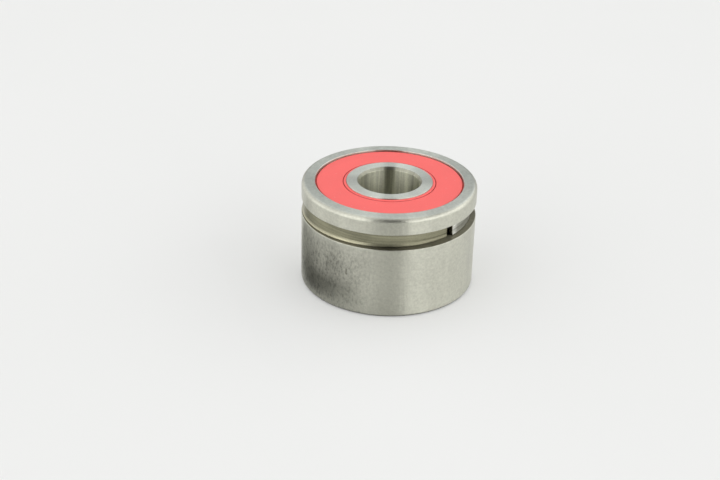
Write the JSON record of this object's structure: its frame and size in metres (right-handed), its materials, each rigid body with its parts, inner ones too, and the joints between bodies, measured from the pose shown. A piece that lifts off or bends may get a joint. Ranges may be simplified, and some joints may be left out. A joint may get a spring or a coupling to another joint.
{
  "type": "ball bearing",
  "caption": "Wide sealed deep-groove ball bearing with red contact seals and a split creep ring in an eccentric groove of its outer ring",
  "frame": {"origin": "centre of the lower face, on the bearing's axis", "axes": "+Z along the axis towards the face beside the creep ring's groove; the creep ring's gap is at 42 degrees from +X towards -Y"},
  "size_m": [0.023, 0.023, 0.014],
  "materials": {
    "ring_steel": "ground outer wall with fine lines, satin faces",
    "inner_ring_steel": "ground bore and faces",
    "spring_steel": "rolled flat wire with a straw tint",
    "ball_steel": "lapped to a mirror",
    "cage_steel": "pressed sheet, tumbled",
    "rivet_steel": "plain wire, upset heads",
    "seal_rubber": "moulded, matt with a soft sheen",
    "insert_steel": "stamped sheet"
  },
  "bodies": {
    "outer": {"outer_ring": "ring_steel", "upper_seal_rubber": "seal_rubber", "upper_seal_insert": "insert_steel", "lower_seal_rubber": "seal_rubber", "lower_seal_insert": "insert_steel"},
    "inner": {"inner_ring": "inner_ring_steel"},
    "creep": {"creep_ring": "spring_steel"},
    "cage": {"cage_upper_half": "cage_steel", "cage_lower_half": "cage_steel", "cage_rivet_1": "rivet_steel", "cage_rivet_2": "rivet_steel", "cage_rivet_3": "rivet_steel", "cage_rivet_4": "rivet_steel", "cage_rivet_5": "rivet_steel", "cage_rivet_6": "rivet_steel", "cage_rivet_7": "rivet_steel"},
    "ball_1_body": {"ball_1": "ball_steel"},
    "ball_2_body": {"ball_2": "ball_steel"},
    "ball_3_body": {"ball_3": "ball_steel"},
    "ball_4_body": {"ball_4": "ball_steel"},
    "ball_5_body": {"ball_5": "ball_steel"},
    "ball_6_body": {"ball_6": "ball_steel"},
    "ball_7_body": {"ball_7": "ball_steel"}
  },
  "joints": [
    {"name": "inner_spin", "type": "hinge", "parent": "outer", "child": "inner", "pos_m": [0, 0, 0.007], "axis": [0, 0, 1], "continuous": true},
    {"name": "creep_turn", "type": "hinge", "parent": "outer", "child": "creep", "pos_m": [-0.00047, 0.00025, 0.0107], "axis": [0, 0, 1], "continuous": true},
    {"name": "cage_orbit", "type": "hinge", "parent": "outer", "child": "cage", "pos_m": [0, 0, 0.007], "axis": [0, 0, 1], "continuous": true},
    {"name": "ball_1_roll", "type": "hinge", "parent": "cage", "child": "ball_1_body", "pos_m": [0.00775, 0, 0.007], "axis": [0, 0, 1], "continuous": true},
    {"name": "ball_2_roll", "type": "hinge", "parent": "cage", "child": "ball_2_body", "pos_m": [0.00483, 0.00606, 0.007], "axis": [0, 0, 1], "continuous": true},
    {"name": "ball_3_roll", "type": "hinge", "parent": "cage", "child": "ball_3_body", "pos_m": [-0.00172, 0.00756, 0.007], "axis": [0, 0, 1], "continuous": true},
    {"name": "ball_4_roll", "type": "hinge", "parent": "cage", "child": "ball_4_body", "pos_m": [-0.00698, 0.00336, 0.007], "axis": [0, 0, 1], "continuous": true},
    {"name": "ball_5_roll", "type": "hinge", "parent": "cage", "child": "ball_5_body", "pos_m": [-0.00698, -0.00336, 0.007], "axis": [0, 0, 1], "continuous": true},
    {"name": "ball_6_roll", "type": "hinge", "parent": "cage", "child": "ball_6_body", "pos_m": [-0.00172, -0.00756, 0.007], "axis": [0, 0, 1], "continuous": true},
    {"name": "ball_7_roll", "type": "hinge", "parent": "cage", "child": "ball_7_body", "pos_m": [0.00483, -0.00606, 0.007], "axis": [0, 0, 1], "continuous": true}
  ],
  "couplings": [
    {"joint": "cage_orbit", "follows": "inner_spin", "ratio": 0.35916},
    {"joint": "ball_1_roll", "follows": "inner_spin", "ratio": -1.6342},
    {"joint": "ball_2_roll", "follows": "inner_spin", "ratio": -1.6342},
    {"joint": "ball_3_roll", "follows": "inner_spin", "ratio": -1.6342},
    {"joint": "ball_4_roll", "follows": "inner_spin", "ratio": -1.6342},
    {"joint": "ball_5_roll", "follows": "inner_spin", "ratio": -1.6342},
    {"joint": "ball_6_roll", "follows": "inner_spin", "ratio": -1.6342},
    {"joint": "ball_7_roll", "follows": "inner_spin", "ratio": -1.6342}
  ]
}
